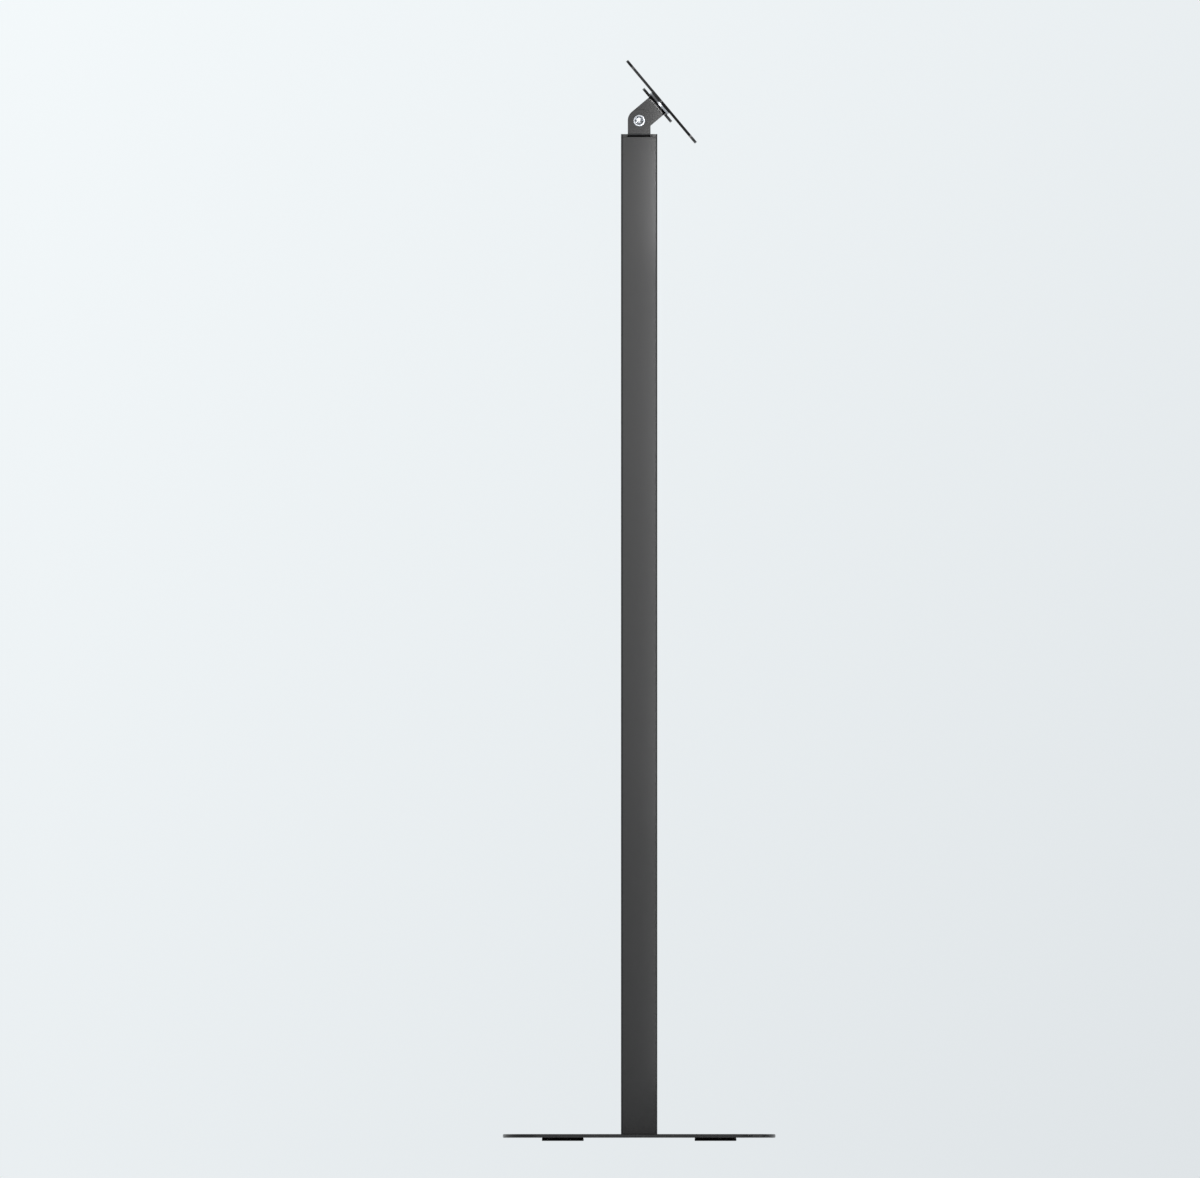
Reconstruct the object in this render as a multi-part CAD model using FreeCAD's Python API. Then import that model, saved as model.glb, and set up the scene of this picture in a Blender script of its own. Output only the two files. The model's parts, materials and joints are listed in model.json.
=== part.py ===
# Floor stand for a small screen: a square column on a flat base plate, with a
# friction hinge at its head and an X-shaped screen plate that turns on the hinge.
#
# Millimetres. X runs across the stand, the front is -Y, Z is up. The origin is on
# the floor under the middle of the base plate. Each separate piece is one STEP file.
import FreeCAD, Part
import math
import os

# Base plate and feet
base_width = 300.0
base_depth = 300.0
base_thick = 4.0
base_corner_radius = 40.0
base_edge_chamfer = 0.6
foot_diameter = 46.0
foot_height = 3.5
foot_edge_chamfer = 0.7
foot_inset = 66.0

# Column, from the base plate's top to the top of the sheet on its head
column_height = 1100.0
column_side = 40.0
column_wall = 1.5
column_inside_radius = 0.5
cable_port_width = 26.0
cable_port_height = 60.0
lower_port_rise = 70.0
upper_port_drop = 65.0

# Threaded blocks inside the two ends of the column
foot_block_height = 14.0
head_block_height = 12.0
base_screw_diameter = 6.0
base_screw_head_diameter = 12.0
base_screw_socket = 4.0
base_screw_socket_depth = 2.0
base_screw_grip = 12.0
base_screw_spacing = 22.0
cap_screw_diameter = 6.0
cap_screw_head_diameter = 12.0
cap_screw_socket = 4.0
cap_screw_socket_depth = 2.0
cap_screw_grip = 9.0
cap_screw_spacing = 20.0
screw_hole_gap = 0.25

# Bent sheet brackets
sheet_thick = 3.0
bend_radius = 1.5
ear_width = 25.0
relief_width = 1.5
tilt_web_length = 48.0
tilt_web_end_flat = 1.0

# Tilt hinge: its axis, the plate's distance from it and how it stands at rest
pivot_rise = 15.0
web_front_distance = 27.5
rest_tilt_back = 40.0
pivot_diameter = 8.0
running_gap = 0.05
friction_washer_thick = 1.0
friction_washer_diameter = 24.0
sleeve_diameter = 12.0
tilt_head_diameter = 13.0
tilt_head_height = 5.0
tilt_head_edge = 0.6
lobe_recess_outer = 7.92
lobe_recess_inner = 5.64
lobe_tip_radius = 0.7
lobe_recess_depth = 3.0

# Sprung stack of both hinges
washer_diameter = 16.0
washer_thick = 1.6
washer_bore_gap = 0.2
disc_spring_thick = 0.8
disc_spring_cone = 0.45
nut_across_flats = 13.0
nut_height = 8.0
nut_hex_height = 6.2
nut_collar_diameter = 11.6
nut_insert_diameter = 10.0
nut_insert_height = 1.8
thread_proud = 2.9

# Swivel and screen plate
swivel_spacer_diameter = 30.0
swivel_spacer_thick = 3.0
swivel_head_diameter = 16.0
swivel_socket = 5.0
swivel_socket_depth = 3.0
swivel_slide_thick = 1.0
large_hole_square = 100.0
small_hole_square = 75.0
screen_hole_diameter = 5.0
arm_width = 18.0
crotch_radius = 5.0

# How far a cutter passes the faces that it opens, and how near two places count as one
cutter_margin = 1.0
same_place = 1e-3

# Places worked out from the sizes above
X_AXIS = FreeCAD.Vector(1, 0, 0)
Y_AXIS = FreeCAD.Vector(0, 1, 0)
Z_AXIS = FreeCAD.Vector(0, 0, 1)
ORIGIN = FreeCAD.Vector(0, 0, 0)
base_bottom = foot_height
base_top = base_bottom + base_thick
head_top = base_top + column_height
tube_top = head_top - sheet_thick
pivot_z = head_top + pivot_rise
ear_end_radius = ear_width / 2
column_inside = column_side - 2 * column_wall
column_corner_radius = column_inside_radius + column_wall
upper_ear_outside = column_side - 2 * sheet_thick - 2 * friction_washer_thick
upper_ear_inside = upper_ear_outside - 2 * sheet_thick
tilt_web_corner_radius = (upper_ear_outside - tilt_web_end_flat) / 2
web_back_distance = web_front_distance - sheet_thick
spacer_front_distance = web_front_distance + swivel_spacer_thick
plate_front_distance = spacer_front_distance + sheet_thick
disc_springs_height = 2 * (disc_spring_thick + disc_spring_cone)
pivot_hole_diameter = pivot_diameter + 2 * running_gap
stack_bore_diameter = pivot_diameter + 2 * washer_bore_gap
spacer_bore_diameter = swivel_head_diameter - 2 * sheet_thick + 2 * screw_hole_gap
tilt_screw_length = column_side + washer_thick + disc_springs_height + nut_height + thread_proud
swivel_stack = swivel_slide_thick + washer_thick + disc_springs_height + nut_height
swivel_screw_length = plate_front_distance - web_back_distance + swivel_stack + thread_proud


def box_between(low, high):
    """Box from its lowest corner to its highest."""
    return Part.makeBox(high[0] - low[0], high[1] - low[1], high[2] - low[2], FreeCAD.Vector(*low))


def disc(diameter, low, high):
    """Round plate or bar about Z, from one height to another."""
    return Part.makeCylinder(diameter / 2, high - low, FreeCAD.Vector(0, 0, low))


def revolved(points):
    """Solid of revolution about Z of a closed (radius, height) outline."""
    corners = [FreeCAD.Vector(radius, 0, height) for radius, height in points]
    outline = Part.makePolygon(corners + corners[:1])
    return Part.Face(outline).revolve(ORIGIN, Z_AXIS, 360)


def prism(wire, low, high):
    """Prism of a closed wire drawn at Z = 0, from one height to another."""
    body = Part.Face(wire).extrude(FreeCAD.Vector(0, 0, high - low))
    body.translate(FreeCAD.Vector(0, 0, low))
    return body


def rounded_rectangle(width, depth, radius):
    """Closed wire about the origin: four sides and four quarter-circle corners."""
    edges = []
    for turn in range(4):
        along = (width if turn % 2 == 0 else depth) / 2
        out = (depth if turn % 2 == 0 else width) / 2
        side = Part.makeLine((radius - along, -out, 0), (along - radius, -out, 0))
        corner_centre = FreeCAD.Vector(along - radius, radius - out, 0)
        corner = Part.makeCircle(radius, corner_centre, Z_AXIS, -90, 0)
        for edge in (side, corner):
            edge.rotate(ORIGIN, Z_AXIS, 90 * turn)
            edges.append(edge)
    return Part.Wire(edges)


def slot_outline(length, width):
    """Closed wire along X about the origin: two lines and two half circles."""
    radius = width / 2
    run = length / 2 - radius
    lower = Part.makeLine((-run, -radius, 0), (run, -radius, 0))
    right = Part.makeCircle(radius, FreeCAD.Vector(run, 0, 0), Z_AXIS, -90, 90)
    upper = Part.makeLine((run, radius, 0), (-run, radius, 0))
    left = Part.makeCircle(radius, FreeCAD.Vector(-run, 0, 0), Z_AXIS, 90, 270)
    return Part.Wire([lower, right, upper, left])


def chamfered_at(body, heights, size):
    """The body with the edges that lie flat at the given heights chamfered."""
    edges = []
    for edge in body.Edges:
        bounds = edge.BoundBox
        lies_flat = bounds.ZLength < same_place
        if lies_flat and any(abs(bounds.ZMin - height) < same_place for height in heights):
            edges.append(edge)
    return body.makeChamfer(size, edges)


def square_places(spacing):
    """Centres of the four corners of a square about the origin."""
    half = spacing / 2
    return [FreeCAD.Vector(x, y, 0) for x in (-half, half) for y in (-half, half)]


def cap_screw_places():
    """Centres of the two screws between the ears, one before the other."""
    half = cap_screw_spacing / 2
    return [FreeCAD.Vector(0, -half, 0), FreeCAD.Vector(0, half, 0)]


def copies(body, places):
    """A moved copy of the body at each place."""
    made = []
    for place in places:
        copy = body.copy()
        copy.translate(place)
        made.append(copy)
    return made


def turned(body, axis, degrees):
    """Copy of the body, turned about an axis through the origin."""
    copy = body.copy()
    copy.rotate(ORIGIN, axis, degrees)
    return copy


def hexagon(across_flats):
    """Closed hexagonal wire about the origin, with flats facing Y."""
    radius = across_flats / math.sqrt(3)
    corners = []
    for step in range(7):
        angle = math.radians(60 * step)
        corners.append(FreeCAD.Vector(radius * math.cos(angle), radius * math.sin(angle), 0))
    return Part.makePolygon(corners)


def lobe_outline():
    """Closed wire of the six-lobe recess: small round tips joined by hollow arcs."""
    outer = lobe_recess_outer / 2
    inner = lobe_recess_inner / 2
    tip_centre = outer - lobe_tip_radius
    cosine = math.cos(math.radians(30))
    hollow_top = lobe_tip_radius ** 2 - tip_centre ** 2 - inner ** 2 + 2 * tip_centre * inner * cosine
    hollow_radius = hollow_top / (2 * inner - 2 * tip_centre * cosine - 2 * lobe_tip_radius)

    def polar(radius, degrees):
        angle = math.radians(degrees)
        return FreeCAD.Vector(radius * math.cos(angle), radius * math.sin(angle), 0)

    def meeting(tip_degrees, hollow_degrees):
        start = polar(tip_centre, tip_degrees)
        towards = polar(inner + hollow_radius, hollow_degrees) - start
        return start + towards.normalize() * lobe_tip_radius

    edges = []
    for step in range(6):
        angle = 60 * step
        before = meeting(angle, angle - 30)
        after = meeting(angle, angle + 30)
        beyond = meeting(angle + 60, angle + 30)
        edges.append(Part.Arc(before, polar(outer, angle), after).toShape())
        edges.append(Part.Arc(after, polar(inner, angle + 30), beyond).toShape())
    return Part.Wire(edges)


def countersunk_screw(diameter, head_diameter, length, socket, socket_depth):
    """Flush screw about Z: its head's flat face at Z = 0, its shank downwards."""
    radius = diameter / 2
    head = head_diameter / 2
    body = revolved(
        [
            (0, 0),
            (head, 0),
            (radius, radius - head),
            (radius, -length),
            (0, -length),
        ]
    )
    return body.cut(prism(hexagon(socket), -socket_depth, cutter_margin))


def countersink(head_diameter, hole_diameter, depth):
    """Cutter for a flush screw: its cone from Z = 0 down, then its hole down to -depth."""
    head = head_diameter / 2
    hole = hole_diameter / 2
    return revolved(
        [
            (0, cutter_margin),
            (head, cutter_margin),
            (head, 0),
            (hole, hole - head),
            (hole, -depth),
            (0, -depth),
        ]
    )


def washer(diameter, bore, thick):
    """Flat washer about Z, from Z = 0 up."""
    return disc(diameter, 0, thick).cut(disc(bore, -cutter_margin, thick + cutter_margin))


def disc_springs():
    """Two cone-shaped disc springs, rim on the seat and hollow sides outwards, from Z = 0 up."""
    inside = stack_bore_diameter / 2
    outside = washer_diameter / 2
    height = disc_spring_thick + disc_spring_cone
    lower = revolved(
        [
            (inside, disc_spring_cone),
            (outside, 0),
            (outside, disc_spring_thick),
            (inside, height),
        ]
    )
    upper = turned(lower, X_AXIS, 180)
    upper.translate(FreeCAD.Vector(0, 0, 2 * height))
    return Part.makeCompound([lower, upper])


def lock_nut():
    """Hexagonal nut from Z = 0 up, with a round collar that holds a plastic ring."""
    body = prism(hexagon(nut_across_flats), 0, nut_hex_height)
    body = body.fuse(disc(nut_collar_diameter, nut_hex_height, nut_height)).removeSplitter()
    body = body.cut(disc(pivot_diameter, -cutter_margin, nut_height + cutter_margin))
    return body.cut(disc(nut_insert_diameter, nut_height - nut_insert_height, nut_height + cutter_margin))


def lock_nut_insert():
    """Plastic ring inside the collar of the lock nut."""
    ring = washer(nut_insert_diameter, pivot_diameter, nut_insert_height)
    ring.translate(FreeCAD.Vector(0, 0, nut_height - nut_insert_height))
    return ring


def pivot_cutter(diameter, width):
    """Round bar along X about the origin, a little longer than the given width."""
    length = width + 2 * cutter_margin
    return Part.makeCylinder(diameter / 2, length, FreeCAD.Vector(-length / 2, 0, 0), X_AXIS)


def bent_bracket(width, web_length, web_far, corner_radius):
    """U-shaped sheet bracket about a hinge axis along X through the origin.

    Its web lies across Z with its far face at web_far. Each ear is bent down from the
    middle of a side edge, between two relief notches, and ends round about the axis.
    """
    half = width / 2
    web_near = web_far - sheet_thick
    outer_radius = sheet_thick + bend_radius
    web = prism(rounded_rectangle(width, web_length, corner_radius), web_near, web_far)
    notch = ear_width / 2 + relief_width
    low = (half - outer_radius, -notch, web_near - cutter_margin)
    high = (half + cutter_margin, notch, web_far + cutter_margin)
    side_notch = box_between(low, high)
    web = web.cut(side_notch).cut(turned(side_notch, Z_AXIS, 180))

    def u_outline(across, far, radius, end):
        corner = radius * (1 - math.sqrt(0.5))
        left_low = FreeCAD.Vector(-across, 0, end)
        left_high = FreeCAD.Vector(-across, 0, far - radius)
        left_mid = FreeCAD.Vector(-across + corner, 0, far - corner)
        top_left = FreeCAD.Vector(-across + radius, 0, far)
        top_right = FreeCAD.Vector(across - radius, 0, far)
        right_mid = FreeCAD.Vector(across - corner, 0, far - corner)
        right_high = FreeCAD.Vector(across, 0, far - radius)
        right_low = FreeCAD.Vector(across, 0, end)
        return Part.Wire(
            [
                Part.makeLine(left_low, left_high),
                Part.Arc(left_high, left_mid, top_left).toShape(),
                Part.makeLine(top_left, top_right),
                Part.Arc(top_right, right_mid, right_high).toShape(),
                Part.makeLine(right_high, right_low),
                Part.makeLine(right_low, left_low),
            ]
        )

    def u_solid(across, far, radius, end):
        body = Part.Face(u_outline(across, far, radius, end)).extrude(FreeCAD.Vector(0, ear_width, 0))
        body.translate(FreeCAD.Vector(0, -ear_width / 2, 0))
        return body

    outside = u_solid(half, web_far, outer_radius, -ear_end_radius)
    inside = u_solid(half - sheet_thick, web_near, bend_radius, -ear_end_radius - cutter_margin)
    ears = outside.cut(inside)
    round_end = pivot_cutter(ear_width, width)
    above_axis = box_between((-half, -ear_width / 2, 0), (half, ear_width / 2, web_far))
    ears = ears.common(round_end.fuse(above_axis))
    return web.fuse(ears).removeSplitter()


def at_pivot(body):
    """The body moved from the origin to the tilt axis."""
    body.translate(FreeCAD.Vector(0, 0, pivot_z))
    return body


def on_head(body):
    """The body moved from a frame whose Z is the screen plate's normal to its place at rest."""
    return at_pivot(turned(body, X_AXIS, 90 - rest_tilt_back))


def base_plate():
    """Flat plate with rounded corners, countersunk from below for the column's screws."""
    outline = rounded_rectangle(base_width, base_depth, base_corner_radius)
    body = prism(outline, base_bottom, base_top)
    body = chamfered_at(body, (base_bottom, base_top), base_edge_chamfer)
    hole = base_screw_diameter + 2 * screw_hole_gap
    cutter = countersink(base_screw_head_diameter, hole, base_thick + cutter_margin)
    cutter = turned(cutter, X_AXIS, 180)
    cutter.translate(FreeCAD.Vector(0, 0, base_bottom))
    for place in copies(cutter, square_places(base_screw_spacing)):
        body = body.cut(place)
    return body


def foot(x, y):
    """Round rubber foot, stuck to the underside of the base plate, its lower rim chamfered."""
    body = chamfered_at(disc(foot_diameter, 0, foot_height), (0,), foot_edge_chamfer)
    body.translate(FreeCAD.Vector(x, y, 0))
    return body


def cable_port(middle):
    """Cutter for an upright oval hole through the rear wall of the column."""
    outline = slot_outline(cable_port_height, cable_port_width)
    body = turned(prism(outline, 0, 2 * column_wall), Z_AXIS, 90)
    body = turned(body, X_AXIS, 90)
    body.translate(FreeCAD.Vector(0, column_side / 2 + column_wall, middle))
    return body


def column_tube():
    """Square tube from the base plate to the head, with a cable port low and high at the rear."""
    outer = prism(rounded_rectangle(column_side, column_side, column_corner_radius), base_top, tube_top)
    inside = rounded_rectangle(column_inside, column_inside, column_inside_radius)
    inner = prism(inside, base_top - cutter_margin, tube_top + cutter_margin)
    body = outer.cut(inner)
    body = body.cut(cable_port(base_top + lower_port_rise))
    return body.cut(cable_port(head_top - upper_port_drop))


def column_block(low, high, screw_diameter, places):
    """Threaded block that fills the tube, with a screw hole along Z at each place."""
    body = prism(rounded_rectangle(column_inside, column_inside, column_inside_radius), low, high)
    hole = disc(screw_diameter, low - cutter_margin, high + cutter_margin)
    for cutter in copies(hole, places):
        body = body.cut(cutter)
    return body


def column_foot_block():
    """Block welded into the lower end of the column."""
    places = square_places(base_screw_spacing)
    return column_block(base_top, base_top + foot_block_height, base_screw_diameter, places)


def column_head_block():
    """Block welded into the upper end of the column."""
    return column_block(tube_top - head_block_height, tube_top, cap_screw_diameter, cap_screw_places())


def base_screws():
    """Four flush screws, up through the base plate into the foot block."""
    length = base_thick + base_screw_grip
    screw = countersunk_screw(
        base_screw_diameter, base_screw_head_diameter, length, base_screw_socket, base_screw_socket_depth
    )
    screw = turned(screw, X_AXIS, 180)
    screw.translate(FreeCAD.Vector(0, 0, base_bottom))
    return Part.makeCompound(copies(screw, square_places(base_screw_spacing)))


def cap_screws():
    """Two flush screws, down through the hinge base into the head block."""
    length = sheet_thick + cap_screw_grip
    screw = countersunk_screw(
        cap_screw_diameter, cap_screw_head_diameter, length, cap_screw_socket, cap_screw_socket_depth
    )
    screw.translate(FreeCAD.Vector(0, 0, head_top))
    return Part.makeCompound(copies(screw, cap_screw_places()))


def hinge_base():
    """Bracket on the column's head: a square sheet with an ear turned up from each side."""
    body = bent_bracket(column_side, column_side, pivot_rise + sheet_thick, column_corner_radius)
    body = body.cut(pivot_cutter(stack_bore_diameter, column_side))
    body = at_pivot(turned(body, X_AXIS, 180))
    hole = cap_screw_diameter + 2 * screw_hole_gap
    cutter = countersink(cap_screw_head_diameter, hole, sheet_thick + cutter_margin)
    cutter.translate(FreeCAD.Vector(0, 0, head_top))
    for place in copies(cutter, cap_screw_places()):
        body = body.cut(place)
    return body


def tilt_bracket():
    """Bracket that tilts: its ears between those of the hinge base, its web behind the plate."""
    body = bent_bracket(upper_ear_outside, tilt_web_length, web_front_distance, tilt_web_corner_radius)
    body = body.cut(pivot_cutter(pivot_hole_diameter, upper_ear_outside))
    low = web_back_distance - cutter_margin
    high = web_front_distance + cutter_margin
    return on_head(body.cut(disc(pivot_hole_diameter, low, high)))


def tilt_screw():
    """Low-head screw that is the tilt axis, its six-lobe recess towards -X."""
    radius = pivot_diameter / 2
    head = tilt_head_diameter / 2
    body = revolved(
        [
            (0, tilt_head_height),
            (head - tilt_head_edge, tilt_head_height),
            (head, tilt_head_height - tilt_head_edge),
            (head, 0),
            (radius, 0),
            (radius, -tilt_screw_length),
            (0, -tilt_screw_length),
        ]
    )
    recess_floor = tilt_head_height - lobe_recess_depth
    body = body.cut(prism(lobe_outline(), recess_floor, tilt_head_height + cutter_margin))
    body = turned(body, Y_AXIS, -90)
    body.translate(FreeCAD.Vector(-column_side / 2, 0, 0))
    return at_pivot(body)


def along_tilt_axis(body, start):
    """The body, made upwards from Z = 0, laid along +X from a place on the tilt axis."""
    body = turned(body, Y_AXIS, 90)
    body.translate(FreeCAD.Vector(start, 0, 0))
    return at_pivot(body)


def tilt_friction_washers():
    """A plastic washer between the two ears on each side."""
    ring = washer(friction_washer_diameter, stack_bore_diameter, friction_washer_thick)
    left = along_tilt_axis(ring, -upper_ear_outside / 2 - friction_washer_thick)
    right = along_tilt_axis(ring, upper_ear_outside / 2)
    return Part.makeCompound([left, right])


def tilt_sleeve():
    """Tube that holds the ears of the tilt bracket apart."""
    sleeve = washer(sleeve_diameter, pivot_hole_diameter, upper_ear_inside)
    return along_tilt_axis(sleeve, -upper_ear_inside / 2)


def behind_web(body, depth):
    """The body, made upwards from Z = 0, put on the back of the web facing away from the plate."""
    body = turned(body, X_AXIS, 180)
    body.translate(FreeCAD.Vector(0, 0, web_back_distance - depth))
    return on_head(body)


def swivel_spacer():
    """Round disc between the web and the screen plate, its bore clear of the screw's head."""
    body = washer(swivel_spacer_diameter, spacer_bore_diameter, swivel_spacer_thick)
    body.translate(FreeCAD.Vector(0, 0, web_front_distance))
    return on_head(body)


def swivel_screw():
    """Flush screw through the middle of the screen plate."""
    body = countersunk_screw(
        pivot_diameter, swivel_head_diameter, swivel_screw_length, swivel_socket, swivel_socket_depth
    )
    body.translate(FreeCAD.Vector(0, 0, plate_front_distance))
    return on_head(body)


def screen_plate():
    """X of two crossed arms with round ends and the holes of both screen patterns."""
    length = large_hole_square * math.sqrt(2) + arm_width
    arm = prism(slot_outline(length, arm_width), spacer_front_distance, plate_front_distance)
    body = turned(arm, Z_AXIS, 45).fuse(turned(arm, Z_AXIS, -45)).removeSplitter()
    crotches = []
    crotch_distance = arm_width / math.sqrt(2)
    for edge in body.Edges:
        middle = edge.CenterOfMass
        upright = edge.BoundBox.ZLength > sheet_thick / 2
        if upright and math.hypot(middle.x, middle.y) < crotch_distance + same_place:
            crotches.append(edge)
    body = body.makeFillet(crotch_radius, crotches)
    low = spacer_front_distance - cutter_margin
    high = plate_front_distance + cutter_margin
    hole = disc(screen_hole_diameter, low, high)
    for place in copies(hole, square_places(large_hole_square) + square_places(small_hole_square)):
        body = body.cut(place)
    middle_hole = countersink(swivel_head_diameter, stack_bore_diameter, sheet_thick + cutter_margin)
    middle_hole.translate(FreeCAD.Vector(0, 0, plate_front_distance))
    return on_head(body.cut(middle_hole))


def all_pieces():
    """Every piece by its name."""
    flat_washer = washer(washer_diameter, stack_bore_diameter, washer_thick)
    slide_washer = washer(washer_diameter, stack_bore_diameter, swivel_slide_thick)
    foot_x = base_width / 2 - foot_inset
    foot_y = base_depth / 2 - foot_inset
    tilt_seat = column_side / 2
    spring_seat = tilt_seat + washer_thick
    nut_seat = spring_seat + disc_springs_height
    swivel_spring_depth = swivel_slide_thick + washer_thick
    swivel_nut_depth = swivel_spring_depth + disc_springs_height
    return {
        "base_plate": base_plate(),
        "foot_front_left": foot(-foot_x, -foot_y),
        "foot_front_right": foot(foot_x, -foot_y),
        "foot_rear_left": foot(-foot_x, foot_y),
        "foot_rear_right": foot(foot_x, foot_y),
        "column_tube": column_tube(),
        "column_foot_block": column_foot_block(),
        "column_head_block": column_head_block(),
        "base_screws": base_screws(),
        "cap_screws": cap_screws(),
        "hinge_base": hinge_base(),
        "tilt_bracket": tilt_bracket(),
        "tilt_sleeve": tilt_sleeve(),
        "tilt_friction_washers": tilt_friction_washers(),
        "tilt_screw": tilt_screw(),
        "tilt_washer": along_tilt_axis(flat_washer, tilt_seat),
        "tilt_disc_springs": along_tilt_axis(disc_springs(), spring_seat),
        "tilt_nut": along_tilt_axis(lock_nut(), nut_seat),
        "tilt_nut_insert": along_tilt_axis(lock_nut_insert(), nut_seat),
        "screen_plate": screen_plate(),
        "swivel_spacer": swivel_spacer(),
        "swivel_screw": swivel_screw(),
        "swivel_slide_washer": behind_web(slide_washer, 0),
        "swivel_washer": behind_web(flat_washer, swivel_slide_thick),
        "swivel_disc_springs": behind_web(disc_springs(), swivel_spring_depth),
        "swivel_nut": behind_web(lock_nut(), swivel_nut_depth),
        "swivel_nut_insert": behind_web(lock_nut_insert(), swivel_nut_depth),
    }


os.makedirs("parts", exist_ok=True)
for name, shape in all_pieces().items():
    shape.exportStep("parts/" + name + ".step")
    box = shape.BoundBox
    low = (round(box.XMin, 2), round(box.YMin, 2), round(box.ZMin, 2))
    high = (round(box.XMax, 2), round(box.YMax, 2), round(box.ZMax, 2))
    print(name, "solids", len(shape.Solids), "valid", shape.isValid(), low, high)
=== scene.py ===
"""Looks of a floor stand for a small screen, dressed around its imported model.

Metres, in the model's own frame: X across the stand, the front towards -Y, Z up.
The small turned and moulded parts are drawn in millimetres about their own Z and then placed.
"""
import json
import math

import bmesh
import bpy
from mathutils import Matrix, Vector


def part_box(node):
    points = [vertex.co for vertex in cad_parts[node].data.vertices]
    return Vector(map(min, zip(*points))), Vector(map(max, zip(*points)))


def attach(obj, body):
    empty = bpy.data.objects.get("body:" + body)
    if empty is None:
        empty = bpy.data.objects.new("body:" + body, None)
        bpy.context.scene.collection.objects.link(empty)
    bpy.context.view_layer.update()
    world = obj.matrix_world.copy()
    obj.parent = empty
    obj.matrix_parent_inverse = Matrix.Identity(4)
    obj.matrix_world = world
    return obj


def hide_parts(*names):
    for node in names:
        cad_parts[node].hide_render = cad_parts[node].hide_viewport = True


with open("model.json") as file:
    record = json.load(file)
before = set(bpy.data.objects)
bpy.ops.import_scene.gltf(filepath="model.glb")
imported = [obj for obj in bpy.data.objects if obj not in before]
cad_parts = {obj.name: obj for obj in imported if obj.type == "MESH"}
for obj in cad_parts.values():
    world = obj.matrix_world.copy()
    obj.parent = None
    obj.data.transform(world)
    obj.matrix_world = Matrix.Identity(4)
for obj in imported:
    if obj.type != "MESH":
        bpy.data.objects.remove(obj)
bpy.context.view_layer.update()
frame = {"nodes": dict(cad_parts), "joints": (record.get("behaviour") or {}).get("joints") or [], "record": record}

MM = 0.001
joints = {joint["name"]: joint for joint in frame["joints"]}
slot_of = {part["node"]: part["material_slot"] for part in frame["record"]["subparts"]}
body_of = {node: body for body, nodes in frame["record"]["behaviour"]["bodies"].items() for node in nodes}

TILT_AXIS = Vector(joints["tilt"]["pos_m"])
PLATE_FRONT = Vector(joints["swivel"]["pos_m"])
PLATE_NORMAL = Vector(joints["swivel"]["axis"]).normalized()
LEAN = math.atan2(-PLATE_NORMAL.y, PLATE_NORMAL.z)

# Axes about whose Z the small parts are made: to +X, to -X, out of the plate's front and its back, up, down
TO_RIGHT = Matrix.Translation(TILT_AXIS) @ Matrix.Rotation(math.radians(90), 4, "Y")
TO_LEFT = Matrix.Translation(TILT_AXIS) @ Matrix.Rotation(math.radians(-90), 4, "Y")
OUT_OF_PLATE = Matrix.Translation(PLATE_FRONT) @ Matrix.Rotation(LEAN, 4, "X")
BEHIND_PLATE = OUT_OF_PLATE @ Matrix.Rotation(math.pi, 4, "X")
UPWARDS = Matrix.Identity(4)
DOWNWARDS = Matrix.Rotation(math.pi, 4, "X")

# Painted sheet and tube: how far a baked coat over a trimmed edge rounds it
PAINT_EDGE = {
    "base_plate": 0.35 * MM,
    "column_tube": 0.35 * MM,
    "hinge_base": 0.12 * MM,
    "tilt_bracket": 0.2 * MM,
    "screen_plate": 0.14 * MM,
}
PAINT_EDGE_STEPS = 3
WELD_DISTANCE = 1e-6
SHARP_EDGE = math.radians(35)
FLAT_SEAM = math.radians(0.6)

# Corners in a ring of a small part, and the angles along a quarter round
RING_STEPS = 72
ROUND_STEPS = 5
QUARTER_ROUND = [math.radians(90) * step / ROUND_STEPS for step in range(ROUND_STEPS + 1)]

# Chamfers of the flat rings, in mm
WASHER_EDGE = 0.2
SLIDE_WASHER_EDGE = 0.15
SPACER_EDGE = 0.4

# Metric threads in mm, with the pitch by diameter; the depth and the flats are shares of the pitch
M6 = 6.0
M8 = 8.0
COARSE_PITCH = {M6: 1.0, M8: 1.25}
THREAD_DEPTH = 0.6134
ROOT_FLAT = 0.25
CREST_FLAT = 0.125
THREAD_TIP_CHAMFER = 0.25
THREAD_STEPS = 10
THREAD_SHOWN = 3.6

# Countersunk screws by diameter, in mm
FLUSH_HEAD = {M6: 12.0, M8: 16.0}
SOCKET_FLATS = {M6: 4.0, M8: 5.0}
SOCKET_DEPTH = {M6: 2.0, M8: 3.0}
SOCKET_TURN = math.radians(23)

# Photograph: a level side view with one scale all over
PHOTO_WIDTH_PX = 1200
PHOTO_HEIGHT_PX = 1178
METRES_PER_PX = 1.10 * MM
AXIS_X_PX = 639.15
FLOOR_Y_PX = 1140.9
CAMERA_DISTANCE = 3.0

# Studio surfaces
FLOOR_SIZE = 80.0
FLOOR_COLOUR = "#EEF2F4"
BACKDROP_X = 8.0
BACKDROP_SIZE = 20.0
# Backdrop glow at its low right and high left: painted shade, darker low on the right and lighter high on the left
BACKDROP_SHADED_LOW_RIGHT = "#DFE4E7"
BACKDROP_LIT_HIGH_LEFT = "#F4F9FB"

# Room: its even light, and its shades. The camera sees it pale all round. Gloss sees it pale low down
# beyond the stand, and elsewhere dim, but lighter towards one direction high over the rear.
AMBIENT = 0.74
ROOM_PALE = "#E6EBED"
ROOM_DIM = "#48494A"
ROOM_ABOVE = "#A0A1A2"
OVER_REAR = (0.0, 0.64, 0.77)

# A glow is how bright a lamp looks from straight ahead, where 1 is white. Spreads are in degrees.
WATTS_PER_GLOW = 4.0
FULL_SPREAD = 180.0

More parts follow.
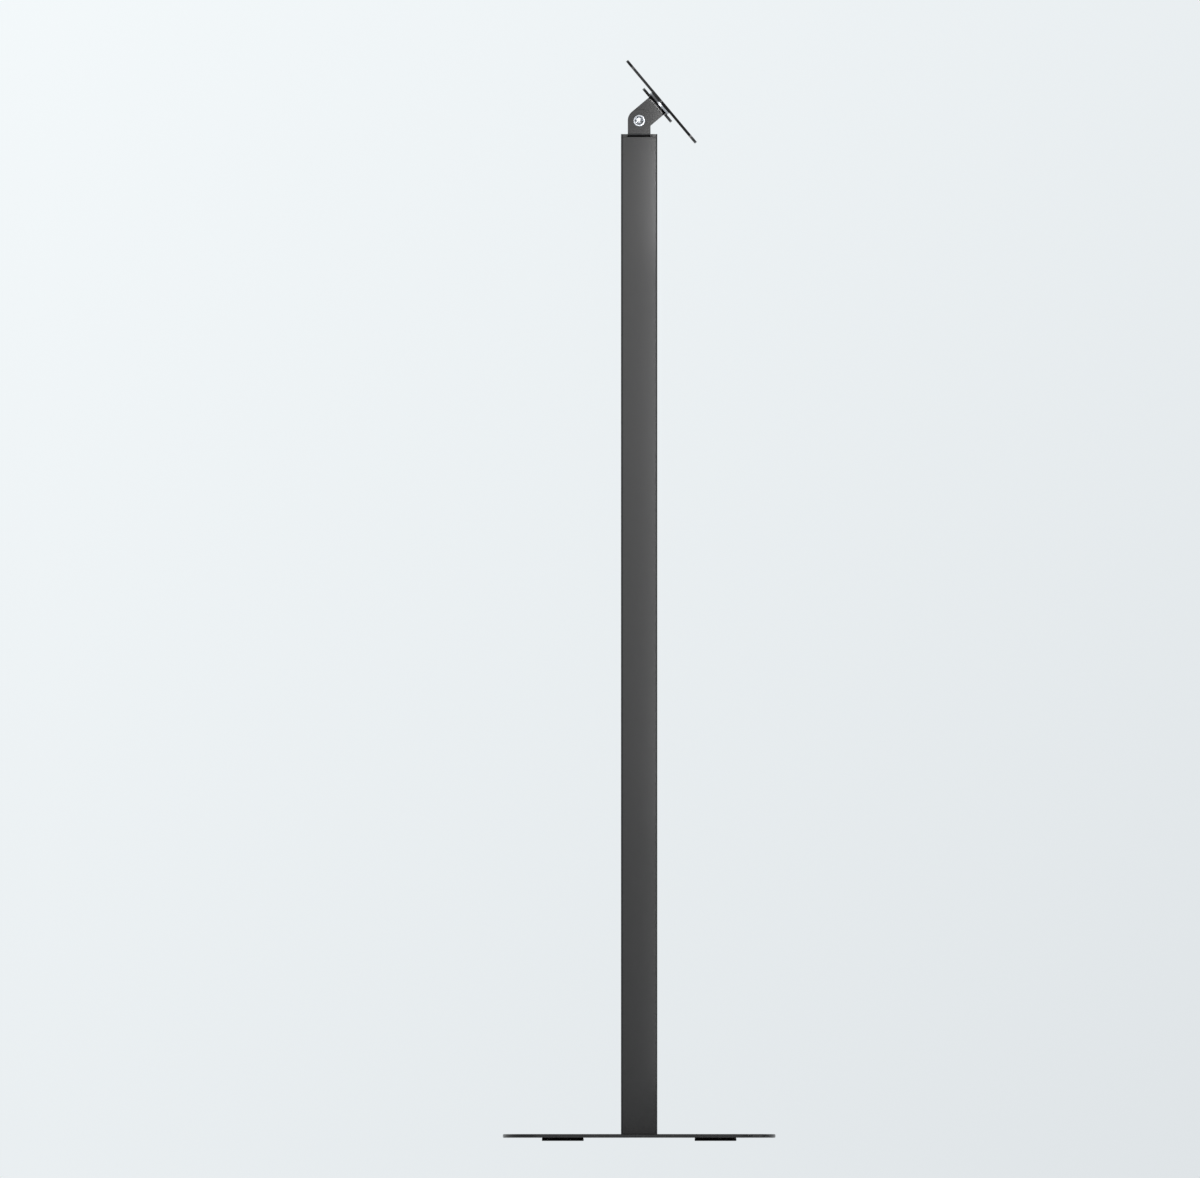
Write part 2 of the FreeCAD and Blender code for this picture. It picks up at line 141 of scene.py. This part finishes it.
# Standing lamps that face +X: place across and in depth, width, spread, and their parts from the floor up,
# each with its lowest height, its highest and its glow. A narrow beam leaves the floor beside it alone.
STANDING_LAMPS = {
    "side_card": (-2.5, 0.1, 1.4, 60.0, (
        (0.0, 0.4, 0.82),
        (0.4, 0.8, 1.40),
        (0.8, 1.2, 2.12),
        (1.2, 1.7, 0.72),
    )),
    "column_strip": (-0.22, -0.04, 0.015, 100.0, (
        (0.06, 0.35, 4.5),
        (0.35, 0.7, 7.0),
        (0.7, 0.98, 8.6),
        (0.98, 1.1, 20.0),
        (1.1, 1.2, 8.0),
    )),
}

# Soft lamps: centre, the point that they face, width, height and glow
SOFT_LAMPS = {
    "key": ((-1.55, -1.0, 1.95), (0, 0, 1.1), 0.3, 0.3, 36.0),
    "front_side": ((-0.9, -1.5, 0.8), (0, 0, 0.8), 1.0, 1.6, 0.9),
    "overhead": ((0.0, -0.8, 3.2), (0, -0.2, 0), 2.4, 2.4, 0.3),
    "front_fill": ((0.8, -2.4, 1.2), (0, 0, 0.6), 1.2, 1.6, 0.8),
    "rear_fill": ((1.2, 2.4, 1.2), (0, 0, 0.6), 1.2, 1.6, 0.8),
}


def linear(hex_colour):
    """sRGB colour such as "#1E1E1F" as the linear RGBA that a shader takes."""
    channels = []
    for start in (1, 3, 5):
        value = int(hex_colour[start:start + 2], 16) / 255
        channels.append(value / 12.92 if value <= 0.04045 else ((value + 0.055) / 1.055) ** 2.4)
    return (*channels, 1.0)


def add(tree, kind, inputs=None, output=None, **settings):
    """New shader node; inputs maps a socket's name or number to a value or to a socket to link.

    Returns the socket of the named output, or the node itself where no output is named.
    """
    node = tree.nodes.new(kind)
    for name, value in settings.items():
        setattr(node, name, value)
    for name, value in (inputs or {}).items():
        if isinstance(value, bpy.types.NodeSocket):
            tree.links.new(value, node.inputs[name])
        else:
            node.inputs[name].default_value = value
    return node.outputs[output] if output else node


def new_material(name):
    """New material and its node tree, still empty."""
    material = bpy.data.materials.new(name)
    material.use_nodes = True
    material.node_tree.nodes.clear()
    return material, material.node_tree


def finish_surface(tree, inputs):
    """Ends a material with a principled shader that takes these inputs."""
    shader = add(tree, "ShaderNodeBsdfPrincipled", inputs, "BSDF")
    add(tree, "ShaderNodeOutputMaterial", {"Surface": shader})


def powder_coat():
    """Black polyester powder coat, sprayed and baked: satin, with a fine orange-peel grain."""
    material, tree = new_material("black_powder_coat")
    grain_size = 0.7 * MM
    grain_depth = 0.008 * MM
    drift_size = 60 * MM
    place = add(tree, "ShaderNodeTexCoord", output="Object")
    grain = add(tree, "ShaderNodeTexNoise", {"Vector": place, "Scale": 1 / grain_size, "Detail": 2.0}, "Fac")
    drift = add(tree, "ShaderNodeTexNoise", {"Vector": place, "Scale": 1 / drift_size, "Detail": 3.0}, "Fac")
    shades = {"Factor": drift, "A": linear("#0C0C0D"), "B": linear("#121213")}
    colour = add(tree, "ShaderNodeMix", shades, "Result", data_type="RGBA")
    roughness = add(tree, "ShaderNodeMapRange", {"Value": drift, "To Min": 0.22, "To Max": 0.26}, "Result")
    bump = add(tree, "ShaderNodeBump", {"Height": grain, "Strength": 0.3, "Distance": grain_depth}, "Normal")
    finish_surface(tree, {"Base Color": colour, "Roughness": roughness, "Normal": bump})
    return material


def zinc_plate(name, axes):
    """Bright zinc plate on turned steel: bluish white metal, with tool marks round the Z of its axes."""
    material, tree = new_material(name)
    # A lathe leaves marks 0.1 to 0.2 mm apart. They are too fine to show, so these are drawn coarser.
    mark_spacing = 0.35 * MM
    mark_depth = 0.02 * MM
    cloud_size = 3 * MM
    start = axes.translation
    direction = axes.to_3x3() @ Vector((0, 0, 1))
    place = add(tree, "ShaderNodeTexCoord", output="Object")
    offset = add(tree, "ShaderNodeVectorMath", {0: place, 1: start}, "Vector", operation="SUBTRACT")
    along = add(tree, "ShaderNodeVectorMath", {0: offset, 1: direction}, "Value", operation="DOT_PRODUCT")
    foot = add(tree, "ShaderNodeVectorMath", {0: direction, "Scale": along}, "Vector", operation="SCALE")
    spoke = add(tree, "ShaderNodeVectorMath", {0: offset, 1: foot}, "Vector", operation="SUBTRACT")
    radius = add(tree, "ShaderNodeVectorMath", {0: spoke}, "Value", operation="LENGTH")
    travel = add(tree, "ShaderNodeMath", {0: along, 1: radius}, "Value", operation="ADD")
    stripes = {"W": travel, "Scale": 1 / mark_spacing, "Detail": 2.0}
    marks = add(tree, "ShaderNodeTexNoise", stripes, "Fac", noise_dimensions="1D")
    cloud = add(tree, "ShaderNodeTexNoise", {"Vector": place, "Scale": 1 / cloud_size, "Detail": 3.0}, "Fac")
    shades = {"Factor": cloud, "A": linear("#A6A9AD"), "B": linear("#C0C3C7")}
    colour = add(tree, "ShaderNodeMix", shades, "Result", data_type="RGBA")
    roughness = add(tree, "ShaderNodeMapRange", {"Value": marks, "To Min": 0.20, "To Max": 0.36}, "Result")
    bump = add(tree, "ShaderNodeBump", {"Height": marks, "Strength": 0.35, "Distance": mark_depth}, "Normal")
    finish_surface(tree, {"Base Color": colour, "Roughness": roughness, "Normal": bump, "Metallic": 1.0})
    return material


def black_oxide():
    """Black oxide on alloy steel, dipped and oiled: dark metal with a dull gloss."""
    material, tree = new_material("black_oxide_steel")
    cloud_size = 2 * MM
    place = add(tree, "ShaderNodeTexCoord", output="Object")
    cloud = add(tree, "ShaderNodeTexNoise", {"Vector": place, "Scale": 1 / cloud_size, "Detail": 3.0}, "Fac")
    shades = {"Factor": cloud, "A": linear("#2A292B"), "B": linear("#353436")}
    colour = add(tree, "ShaderNodeMix", shades, "Result", data_type="RGBA")
    roughness = add(tree, "ShaderNodeMapRange", {"Value": cloud, "To Min": 0.34, "To Max": 0.46}, "Result")
    finish_surface(tree, {"Base Color": colour, "Roughness": roughness, "Metallic": 1.0})
    return material


def bare_steel():
    """Bare cold-drawn and spring steel, lightly oiled: grey metal with faint mill marks."""
    material, tree = new_material("oiled_bare_steel")
    mark_size = 1.5 * MM
    place = add(tree, "ShaderNodeTexCoord", output="Object")
    marks = add(tree, "ShaderNodeTexNoise", {"Vector": place, "Scale": 1 / mark_size, "Detail": 4.0}, "Fac")
    shades = {"Factor": marks, "A": linear("#77756F"), "B": linear("#96948E")}
    colour = add(tree, "ShaderNodeMix", shades, "Result", data_type="RGBA")
    roughness = add(tree, "ShaderNodeMapRange", {"Value": marks, "To Min": 0.32, "To Max": 0.48}, "Result")
    finish_surface(tree, {"Base Color": colour, "Roughness": roughness, "Metallic": 1.0})
    return material


def foot_rubber():
    """Moulded rubber with carbon black: matt, with a fine grain from its mould."""
    material, tree = new_material("moulded_black_rubber")
    grain_size = 0.5 * MM
    grain_depth = 0.05 * MM
    place = add(tree, "ShaderNodeTexCoord", output="Object")
    grain = add(tree, "ShaderNodeTexNoise", {"Vector": place, "Scale": 1 / grain_size, "Detail": 2.0}, "Fac")
    shades = {"Factor": grain, "A": linear("#191919"), "B": linear("#242423")}
    colour = add(tree, "ShaderNodeMix", shades, "Result", data_type="RGBA")
    roughness = add(tree, "ShaderNodeMapRange", {"Value": grain, "To Min": 0.68, "To Max": 0.82}, "Result")
    bump = add(tree, "ShaderNodeBump", {"Height": grain, "Strength": 0.6, "Distance": grain_depth}, "Normal")
    finish_surface(tree, {"Base Color": colour, "Roughness": roughness, "Normal": bump})
    return material


def nylon():
    """Natural nylon, injection moulded: milky ivory plastic with a soft gloss."""
    material, tree = new_material("natural_nylon")
    cloud_size = 2 * MM
    place = add(tree, "ShaderNodeTexCoord", output="Object")
    cloud = add(tree, "ShaderNodeTexNoise", {"Vector": place, "Scale": 1 / cloud_size, "Detail": 2.0}, "Fac")
    shades = {"Factor": cloud, "A": linear("#D2D0C6"), "B": linear("#DFDDD5")}
    colour = add(tree, "ShaderNodeMix", shades, "Result", data_type="RGBA")
    roughness = add(tree, "ShaderNodeMapRange", {"Value": cloud, "To Min": 0.38, "To Max": 0.5}, "Result")
    finish_surface(tree, {"Base Color": colour, "Roughness": roughness})
    return material


finishes = {
    "powder_coat": powder_coat(),
    "foot_rubber": foot_rubber(),
    "plain_steel": bare_steel(),
    "black_screws": black_oxide(),
    "zinc": zinc_plate("bright_zinc_plate_tilt", TO_RIGHT),
    "slide_plastic": nylon(),
}
finish_of = {node: finishes[slot] for node, slot in slot_of.items()}

# Tool marks run round a piece's own axis, so the turned pieces of the swivel have a zinc plate of their own
swivel_zinc = zinc_plate("bright_zinc_plate_swivel", OUT_OF_PLATE)
for node in ("swivel_spacer", "swivel_washer", "swivel_nut"):
    finish_of[node] = swivel_zinc


def object_from(bm, name, material):
    """New object in the scene from a bmesh, with smooth faces and sharp creases."""
    mesh = bpy.data.meshes.new(name)
    bm.to_mesh(mesh)
    bm.free()
    mesh.shade_smooth()
    mesh.set_sharp_from_angle(angle=SHARP_EDGE)
    piece = bpy.data.objects.new(name, mesh)
    bpy.context.scene.collection.objects.link(piece)
    mesh.materials.append(material)
    return piece


def stand_in(bm, node, axes):
    """Piece that stands for a node and moves as it does, from a shape about the Z of its axes."""
    bmesh.ops.transform(bm, matrix=axes, verts=bm.verts)
    piece = object_from(bm, "finished_" + node, finish_of[node])
    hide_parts(node)
    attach(piece, body_of[node])
    return piece


def small_part(bm, node, axes):
    """Piece that stands for a node, from a shape in mm about the Z of its axes."""
    stand_in(bm, node, axes @ Matrix.Scale(MM, 4))


def painted(node, radius):
    """Copy of a node whose sharp edges are rounded as a baked coat rounds them."""
    bm = bmesh.new()
    bm.from_mesh(frame["nodes"][node].data)
    bmesh.ops.remove_doubles(bm, verts=bm.verts, dist=WELD_DISTANCE)
    bmesh.ops.dissolve_limit(bm, angle_limit=FLAT_SEAM, verts=bm.verts, edges=bm.edges)
    edges = [edge for edge in bm.edges if edge.is_manifold and edge.calc_face_angle() > SHARP_EDGE]
    bmesh.ops.bevel(
        bm,
        geom=edges,
        offset=radius,
        offset_type="OFFSET",
        affect="EDGES",
        segments=PAINT_EDGE_STEPS,
        profile=0.5,
        clamp_overlap=True,
        material=-1,
    )
    piece = stand_in(bm, node, Matrix.Identity(4))
    weights = piece.modifiers.new("even_normals", "WEIGHTED_NORMAL")
    weights.keep_sharp = True


def reach(node, axes):
    """Lowest and highest place of a node along the Z of its axes, in mm."""
    inverse = axes.inverted()
    heights = [(inverse @ vertex.co).z / MM for vertex in frame["nodes"][node].data.vertices]
    return min(heights), max(heights)


def girth(node, axes):
    """Least and greatest distance of a node's corners from the Z of its axes, in mm."""
    inverse = axes.inverted()
    spokes = [(inverse @ vertex.co).xy.length / MM for vertex in frame["nodes"][node].data.vertices]
    return min(spokes), max(spokes)


def ring(bm, radius, height):
    """Closed ring of edges about Z; its radius is a length or a function of the angle."""
    made = bmesh.ops.create_circle(bm, cap_ends=False, segments=RING_STEPS, radius=1.0)["verts"]
    for vertex in made:
        angle = math.atan2(vertex.co.y, vertex.co.x)
        size = radius(angle) if callable(radius) else radius
        vertex.co = (size * math.cos(angle), size * math.sin(angle), height)
    return list(dict.fromkeys(edge for vertex in made for edge in vertex.link_edges))


def skin(bm, rings, closed=False):
    """Skin over rings about Z, in order, and the vertices that it adds; closed joins both ends."""
    before = len(bm.verts)
    loops = [ring(bm, radius, height) for radius, height in rings]
    for first, second in zip(loops, loops[1:]):
        bmesh.ops.bridge_loops(bm, edges=first + second)
    if closed:
        bmesh.ops.bridge_loops(bm, edges=loops[-1] + loops[0])
    else:
        for end in (loops[0], loops[-1]):
            bmesh.ops.edgeloop_fill(bm, edges=end)
    bmesh.ops.recalc_face_normals(bm, faces=bm.faces)
    bm.verts.ensure_lookup_table()
    return bm.verts[before:]


def hexagon(across_flats):
    """Radius of a hexagon by angle, with a corner at angle 0."""
    return lambda angle: across_flats / 2 / math.cos(angle % math.radians(60) - math.radians(30))


def six_lobes(outer, inner):
    """Radius of a six-lobe recess by angle, between two diameters."""
    return lambda angle: (outer + inner) / 4 + (outer - inner) / 4 * math.cos(6 * angle)


def screw_thread(diameter, tip):
    """Rings of a right-hand thread from a screw's chamfered tip upwards."""
    pitch = COARSE_PITCH[diameter]
    crest = diameter / 2
    root = crest - THREAD_DEPTH * pitch
    tip_radius = root - THREAD_TIP_CHAMFER

    def groove(height):
        def radius(angle):
            flank = abs(2 * ((height / pitch - angle / math.tau) % 1.0) - 1)
            ridge = min(1.0, max(0.0, (flank - ROOT_FLAT) / (1 - ROOT_FLAT - CREST_FLAT)))
            return min(root + (crest - root) * ridge, tip_radius + height - tip)

        return radius

    steps = round(THREAD_SHOWN / pitch * THREAD_STEPS)
    heights = [tip + step * pitch / THREAD_STEPS for step in range(steps + 1)]
    return [(groove(height), height) for height in heights] + [(crest, heights[-1] + pitch)]


def flat_ring(bm, inner, outer, low, high, edge):
    """Washer or tube from one height to another, with its four edges chamfered."""
    outline = [
        (inner, low + edge),
        (inner, high - edge),
        (inner + edge, high),
        (outer - edge, high),
        (outer, high - edge),
        (outer, low + edge),
        (outer - edge, low),
        (inner + edge, low),
    ]
    skin(bm, outline, closed=True)


def ring_node(node, axes, edge):
    """Washer, sleeve or spacer that takes its bore, diameter and thickness from its node."""
    bm = bmesh.new()
    flat_ring(bm, *girth(node, axes), *reach(node, axes), edge)
    small_part(bm, node, axes)


def friction_washers():
    """The two plastic washers between the ears, one on each side of the tilt bracket."""
    inner, outer = girth("tilt_friction_washers", TO_RIGHT)
    low, high = reach("tilt_friction_washers", TO_RIGHT)
    thick = high - reach("tilt_bracket", TO_RIGHT)[1]
    bm = bmesh.new()
    flat_ring(bm, inner, outer, low, low + thick, WASHER_EDGE)
    flat_ring(bm, inner, outer, high - thick, high, WASHER_EDGE)
    small_part(bm, "tilt_friction_washers", TO_RIGHT)


def disc_springs(node, axes):
    """Two cone-shaped disc springs, rim on the seat and hollow sides outwards, with smoothed edges."""
    inner, outer = girth(node, axes)
    low, high = reach(node, axes)
    cone = 0.45
    fall = 0.02
    edge = 0.12
    middle = (low + high) / 2
    thick = middle - low - cone
    bm = bmesh.new()
    for way in (-1, 1):
        rim = middle - way * (middle - low)
        outline = [
            (inner + edge, rim + way * (cone - fall)),
            (outer - edge, rim),
            (outer, rim + way * edge),
            (outer, rim + way * (thick - edge)),
            (outer - edge, rim + way * thick),
            (inner + edge, rim + way * (cone + thick - fall)),
            (inner, rim + way * (cone + thick - edge)),
            (inner, rim + way * (cone + edge)),
        ]
        skin(bm, outline, closed=True)
    small_part(bm, node, axes)


def lock_nut(node, insert_node, axes):
    """Hexagonal nut with chamfered corners and a round collar rolled over a plastic ring."""
    bore, across = girth(node, axes)
    low, high = reach(node, axes)
    ring_bore, ring_outer = girth(insert_node, axes)
    ring_low, ring_high = reach(insert_node, axes)
    flats = 13.0
    face = 6.2
    corner_blunt = 0.06
    corner = across - corner_blunt
    corner_drop = (corner - face) * math.tan(math.radians(30))
    bore_chamfer = 0.35
    collar = 5.8
    collar_round = 0.45
    collar_bulge = 0.13
    foot_width = 0.3
    foot_top = 0.4
    foot_low = 0.05
    lip = 0.25
    lip_thick = 0.1
    insert_sink = 0.2
    insert_edge = 0.15
    outline = [
        (bore + bore_chamfer, low),
        (bore, low + bore_chamfer),
        (bore, ring_low),
        (ring_outer, ring_low),
        (ring_outer, high - lip),
        (ring_outer - lip, high - lip_thick),
        (ring_outer - lip_thick, high),
        (collar - collar_round, high),
        (collar - collar_bulge, high - collar_bulge),
        (collar, high - collar_round),
        (collar, ring_low + foot_top),
        (collar + foot_width, ring_low + foot_low),
        (face, ring_low),
        (corner, ring_low - corner_drop),
        (corner, low + corner_drop),
        (face, low),
    ]
    bm = bmesh.new()
    skin(bm, outline, closed=True)
    for side in range(6):
        angle = math.radians(30 + 60 * side)
        out = Vector((math.cos(angle), math.sin(angle), 0))
        whole = bm.verts[:] + bm.edges[:] + bm.faces[:]
        bmesh.ops.bisect_plane(bm, geom=whole, plane_co=out * flats / 2, plane_no=out, clear_outer=True)
        bmesh.ops.edgeloop_fill(bm, edges=[edge for edge in bm.edges if edge.is_boundary])
    bmesh.ops.recalc_face_normals(bm, faces=bm.faces)
    small_part(bm, node, axes)
    bm = bmesh.new()
    flat_ring(bm, ring_bore, ring_outer, ring_low, ring_high - insert_sink, insert_edge)
    small_part(bm, insert_node, axes)


def tilt_screw():
    """Low round head with a six-lobe recess, a plain shank and a threaded end."""
    tip, top = reach("tilt_screw", TO_LEFT)
    seat = reach("hinge_base", TO_LEFT)[1]
    head = girth("tilt_screw", TO_LEFT)[1]
    seat_edge = 0.3
    top_edge = 0.6
    round_middle = head - top_edge
    mouth = 4.95
    lobes = six_lobes(8.95, 6.45)
    mouth_depth = 1.9
    wall_depth = 2.4
    floor_radius = 2.8
    floor_depth = 3.2
    rings = screw_thread(M8, tip)
    rings += [(M8 / 2, seat), (head - seat_edge, seat), (head, seat + seat_edge)]
    for turn in QUARTER_ROUND:
        rings.append((round_middle + top_edge * math.cos(turn), top - top_edge + top_edge * math.sin(turn)))
    rings += [(mouth, top), (lobes, top - mouth_depth), (lobes, top - wall_depth)]
    rings.append((floor_radius, top - floor_depth))
    bm = bmesh.new()
    skin(bm, rings)
    small_part(bm, "tilt_screw", TO_LEFT)


def flush_screws(node, axes, places, diameter):
    """Countersunk screws with hexagon sockets, each at its place and turned its own way."""
    low, high = reach(node, axes)
    shank = diameter / 2
    head = FLUSH_HEAD[diameter] / 2
    rim = ((0.15, 0.15), (0.2, 0.04), (0.35, 0.0))
    flats = SOCKET_FLATS[diameter]
    depth = SOCKET_DEPTH[diameter]
    socket = hexagon(flats)
    mouth = 0.61 * flats
    mouth_depth = 0.3
    drill_tip = 0.05 * flats
    drill_depth = depth + 0.25 * flats
    rings = screw_thread(diameter, low) + [(shank, high - head + shank)]
    rings += [(head - inset, high - drop) for inset, drop in rim]
    rings += [(mouth, high), (socket, high - mouth_depth), (socket, high - depth)]
    rings.append((drill_tip, high - drill_depth))
    bm = bmesh.new()
    for number, place in enumerate(places):
        verts = skin(bm, rings)
        turn = Matrix.Rotation(SOCKET_TURN * number, 4, "Z")
        bmesh.ops.transform(bm, matrix=Matrix.Translation(place) @ turn, verts=verts)
    small_part(bm, node, axes)


def head_spacing(node, direction):
    """Half the distance between a group's outer M6 screws, in mm; direction is 0 for X and 1 for Y."""
    low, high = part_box(node)
    return (high[direction] - low[direction]) / MM / 2 - FLUSH_HEAD[M6] / 2


def rubber_foot(node):
    """Moulded foot: rounded lower rim, and a side that draws in a little towards the plate."""
    low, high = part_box(node)
    middle = (low + high) / 2
    axes = Matrix.Translation((middle.x, middle.y, 0))
    bottom, top = reach(node, axes)
    across = girth(node, axes)[1]
    rim = 0.8
    draft = 0.2
    top_edge = 0.3
    rings = []
    for turn in QUARTER_ROUND:
        rings.append((across - rim + rim * math.sin(turn), bottom + rim - rim * math.cos(turn)))
    rings += [(across - draft, top - top_edge), (across - draft - top_edge, top)]
    bm = bmesh.new()
    skin(bm, rings)
    small_part(bm, node, axes)


def ray_kinds(tree):
    """Two sockets: 1 for the camera's own rays, and 1 for the rays of gloss and of clear matter."""
    path = add(tree, "ShaderNodeLightPath").outputs
    kinds = {0: path["Is Glossy Ray"], 1: path["Is Transmission Ray"]}
    return path["Is Camera Ray"], add(tree, "ShaderNodeMath", kinds, "Value", operation="MAXIMUM")


def make_camera():
    """Level camera on the -X side that shows the photograph's frame."""
    data = bpy.data.cameras.new("camera")
    data.type = "ORTHO"
    data.ortho_scale = PHOTO_WIDTH_PX * METRES_PER_PX
    camera = bpy.data.objects.new("camera", data)
    across = (AXIS_X_PX - PHOTO_WIDTH_PX / 2) * METRES_PER_PX
    up = (FLOOR_Y_PX - PHOTO_HEIGHT_PX / 2) * METRES_PER_PX
    camera.location = (-CAMERA_DISTANCE, across, up)
    camera.rotation_euler = (math.radians(90), 0, math.radians(-90))
    bpy.context.scene.collection.objects.link(camera)
    bpy.context.scene.camera = camera


def make_floor():
    """Wide pale floor that keeps the stand's shadow."""
    bm = bmesh.new()
    bmesh.ops.create_grid(bm, x_segments=1, y_segments=1, size=FLOOR_SIZE / 2)
    material, tree = new_material("pale_studio_floor")
    finish_surface(tree, {"Base Color": linear(FLOOR_COLOUR), "Roughness": 0.9, "Specular IOR Level": 0.1})
    object_from(bm, "floor", material)


def make_backdrop():
    """Upright screen beyond the stand whose glow grows darker to the right and downwards: painted shade of the
    studio light falling off.
    """
    bm = bmesh.new()
    bmesh.ops.create_grid(bm, x_segments=1, y_segments=1, size=BACKDROP_SIZE / 2)
    bmesh.ops.rotate(bm, cent=(0, 0, 0), matrix=Matrix.Rotation(math.radians(-90), 3, "Y"), verts=bm.verts)
    bmesh.ops.translate(bm, vec=(BACKDROP_X, 0, 0), verts=bm.verts)
    material, tree = new_material("painted_shade_backdrop")
    run = PHOTO_WIDTH_PX * METRES_PER_PX
    place = add(tree, "ShaderNodeTexCoord", output="Object")
    axes = add(tree, "ShaderNodeSeparateXYZ", {"Vector": place}).outputs
    sideways = {"Value": axes["Y"], "From Min": -run / 2, "From Max": run / 2}
    upwards = {"Value": axes["Z"], "From Min": 0.0, "From Max": run}
    left = add(tree, "ShaderNodeMapRange", sideways, "Result")
    high = add(tree, "ShaderNodeMapRange", upwards, "Result")
    total = add(tree, "ShaderNodeMath", {0: left, 1: high}, "Value", operation="ADD")
    share = add(tree, "ShaderNodeMath", {0: total, 1: 0.5}, "Value", operation="MULTIPLY")
    shades = {"Factor": share, "A": linear(BACKDROP_SHADED_LOW_RIGHT), "B": linear(BACKDROP_LIT_HIGH_LEFT)}
    colour = add(tree, "ShaderNodeMix", shades, "Result", data_type="RGBA")
    glow = add(tree, "ShaderNodeEmission", {"Color": colour}, "Emission")
    hidden = add(tree, "ShaderNodeBsdfTransparent", output="BSDF")
    camera, gloss = ray_kinds(tree)
    seen = add(tree, "ShaderNodeMath", {0: camera, 1: gloss}, "Value", operation="MAXIMUM")
    surface = add(tree, "ShaderNodeMixShader", {0: seen, 1: hidden, 2: glow}, "Shader")
    add(tree, "ShaderNodeOutputMaterial", {"Surface": surface})
    object_from(bm, "backdrop", material)


def make_world():
    """Even room light, a pale room for the camera, and one with pale and dim sides for gloss."""
    world = bpy.data.worlds.new("studio")
    bpy.context.scene.world = world
    world.use_nodes = True
    tree = world.node_tree
    tree.nodes.clear()
    direction = add(tree, "ShaderNodeTexCoord", output="Generated")
    axes = add(tree, "ShaderNodeSeparateXYZ", {"Vector": direction}).outputs
    beyond = add(tree, "ShaderNodeMapRange", {"Value": axes["X"], "From Min": 0.0, "From Max": 0.6}, "Result")
    low = add(tree, "ShaderNodeMapRange", {"Value": axes["Z"], "From Min": 0.7, "From Max": 0.2}, "Result")
    pale = add(tree, "ShaderNodeMath", {0: beyond, 1: low}, "Value", operation="MULTIPLY")
    rear = add(tree, "ShaderNodeVectorMath", {0: direction, 1: OVER_REAR}, "Value", operation="DOT_PRODUCT")
    above = add(tree, "ShaderNodeMapRange", {"Value": rear, "From Min": 0.3, "From Max": 0.9}, "Result")
    dim_shades = {"Factor": above, "A": linear(ROOM_DIM), "B": linear(ROOM_ABOVE)}
    dim = add(tree, "ShaderNodeMix", dim_shades, "Result", data_type="RGBA")
    gloss_shades = {"Factor": pale, "A": dim, "B": linear(ROOM_PALE)}
    gloss_colour = add(tree, "ShaderNodeMix", gloss_shades, "Result", data_type="RGBA")
    seen = add(tree, "ShaderNodeBackground", {"Color": linear(ROOM_PALE)}, "Background")
    mirrored = add(tree, "ShaderNodeBackground", {"Color": gloss_colour}, "Background")
    light = add(tree, "ShaderNodeBackground", {"Color": (1, 1, 1, 1), "Strength": AMBIENT}, "Background")
    camera, gloss = ray_kinds(tree)
    unseen = add(tree, "ShaderNodeMixShader", {0: gloss, 1: light, 2: mirrored}, "Shader")
    surface = add(tree, "ShaderNodeMixShader", {0: camera, 1: unseen, 2: seen}, "Shader")
    add(tree, "ShaderNodeOutputWorld", {"Surface": surface})


def softbox(name, centre, target, width, height, glow, spread=FULL_SPREAD):
    """Soft rectangular lamp at centre that faces target, narrowed to a beam by its spread."""
    half = math.radians(spread) / 2
    # By how much narrowing a lamp makes it brighter straight ahead
    gain = math.tan(half) / (math.tan(half) - half) if spread < FULL_SPREAD else 1.0
    data = bpy.data.lights.new(name, "AREA")
    data.shape = "RECTANGLE"
    data.size = width
    data.size_y = height
    data.energy = glow * WATTS_PER_GLOW * width * height / gain
    data.spread = math.radians(spread)
    lamp = bpy.data.objects.new(name, data)
    lamp.location = centre
    direction = Vector(target) - Vector(centre)
    lamp.rotation_euler = direction.to_track_quat("-Z", "Y").to_euler()
    bpy.context.scene.collection.objects.link(lamp)
    lamp.visible_camera = False


def make_lamps():
    """Wide card beside the stand, a slim strip nearer to it, a key lamp and soft fill all round."""
    for name, (across, depth, width, spread, parts) in STANDING_LAMPS.items():
        for number, (bottom, top, glow) in enumerate(parts):
            place = Vector((across, depth, (bottom + top) / 2))
            softbox(f"{name}_{number}", place, place + Vector((1, 0, 0)), width, top - bottom, glow, spread)
    for name, lamp in SOFT_LAMPS.items():
        softbox(name, *lamp)


bpy.context.scene.view_settings.view_transform = "Standard"
make_camera()
make_floor()
make_backdrop()
make_world()
make_lamps()

for node, piece in frame["nodes"].items():
    for slot in piece.material_slots:
        slot.material = finish_of[node]

for node, radius in PAINT_EDGE.items():
    painted(node, radius)
for node in frame["nodes"]:
    if node.startswith("foot_"):
        rubber_foot(node)

tilt_screw()
ring_node("tilt_washer", TO_RIGHT, WASHER_EDGE)
ring_node("tilt_sleeve", TO_RIGHT, SPACER_EDGE)
friction_washers()
disc_springs("tilt_disc_springs", TO_RIGHT)
lock_nut("tilt_nut", "tilt_nut_insert", TO_RIGHT)

ring_node("swivel_spacer", BEHIND_PLATE, SPACER_EDGE)
ring_node("swivel_washer", BEHIND_PLATE, WASHER_EDGE)
ring_node("swivel_slide_washer", BEHIND_PLATE, SLIDE_WASHER_EDGE)
disc_springs("swivel_disc_springs", BEHIND_PLATE)
lock_nut("swivel_nut", "swivel_nut_insert", BEHIND_PLATE)

flush_screws("swivel_screw", OUT_OF_PLATE, [(0, 0, 0)], M8)
cap_half = head_spacing("cap_screws", 1)
flush_screws("cap_screws", UPWARDS, [(0, -cap_half, 0), (0, cap_half, 0)], M6)
base_half = head_spacing("base_screws", 0)
corners = [(x, y, 0) for x in (-base_half, base_half) for y in (-base_half, base_half)]
flush_screws("base_screws", DOWNWARDS, corners, M6)
